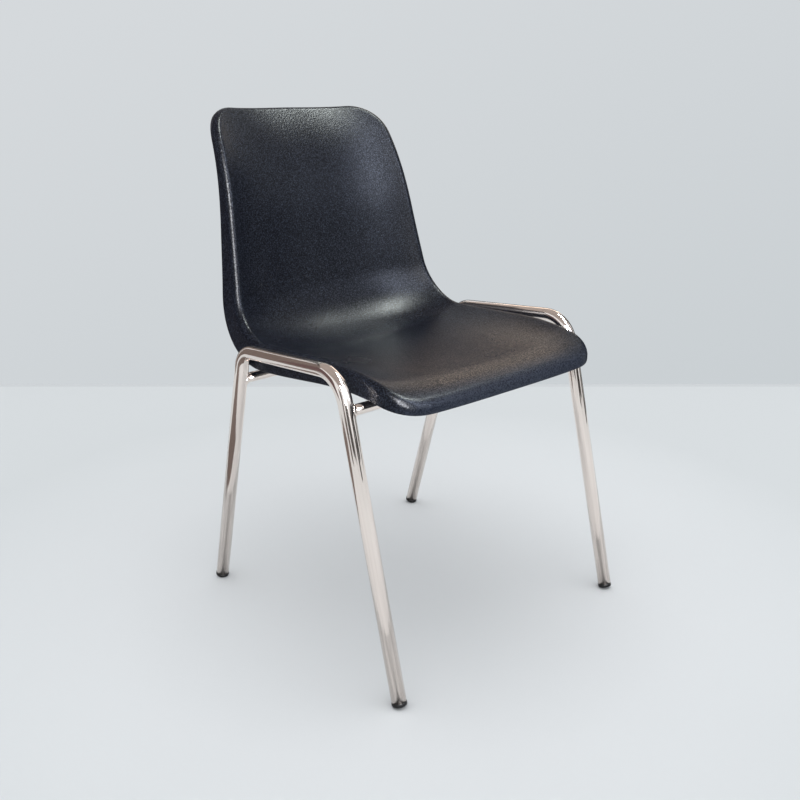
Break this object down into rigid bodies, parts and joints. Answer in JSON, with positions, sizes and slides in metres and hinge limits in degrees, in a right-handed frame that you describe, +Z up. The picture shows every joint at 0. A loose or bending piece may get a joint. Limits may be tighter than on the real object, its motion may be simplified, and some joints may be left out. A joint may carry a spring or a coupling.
{
  "type": "stacking chair",
  "caption": "Stacking chair with a moulded plastic bucket shell on a welded frame of bent chromed tube, with plastic glides.",
  "frame": {"origin": "on the floor, in the middle of the chair's footprint", "axes": "+X towards the sitter's left hand, +Y from the front of the seat towards the back, +Z up"},
  "size_m": [0.5138, 0.5892, 0.807],
  "materials": {
    "shell_plastic": "fine grain, satin",
    "chromed_tube": "bright chrome",
    "chromed_weld": "bright chrome over a weld bead",
    "glide_plastic": "smooth black",
    "insert_brass": "machined",
    "plated_fastener": "zinc plated"
  },
  "bodies": {
    "root": {"seat_shell": "shell_plastic", "left_side_frame": "chromed_tube", "right_side_frame": "chromed_tube", "front_crossbar": "chromed_tube", "rear_crossbar": "chromed_tube", "front_left_weld": "chromed_weld", "front_right_weld": "chromed_weld", "rear_left_weld": "chromed_weld", "rear_right_weld": "chromed_weld", "front_left_glide": "glide_plastic", "front_right_glide": "glide_plastic", "rear_left_glide": "glide_plastic", "rear_right_glide": "glide_plastic", "boss_inserts": "insert_brass", "saddle_washers": "plated_fastener", "shell_screws": "plated_fastener"}
  },
  "joints": []
}
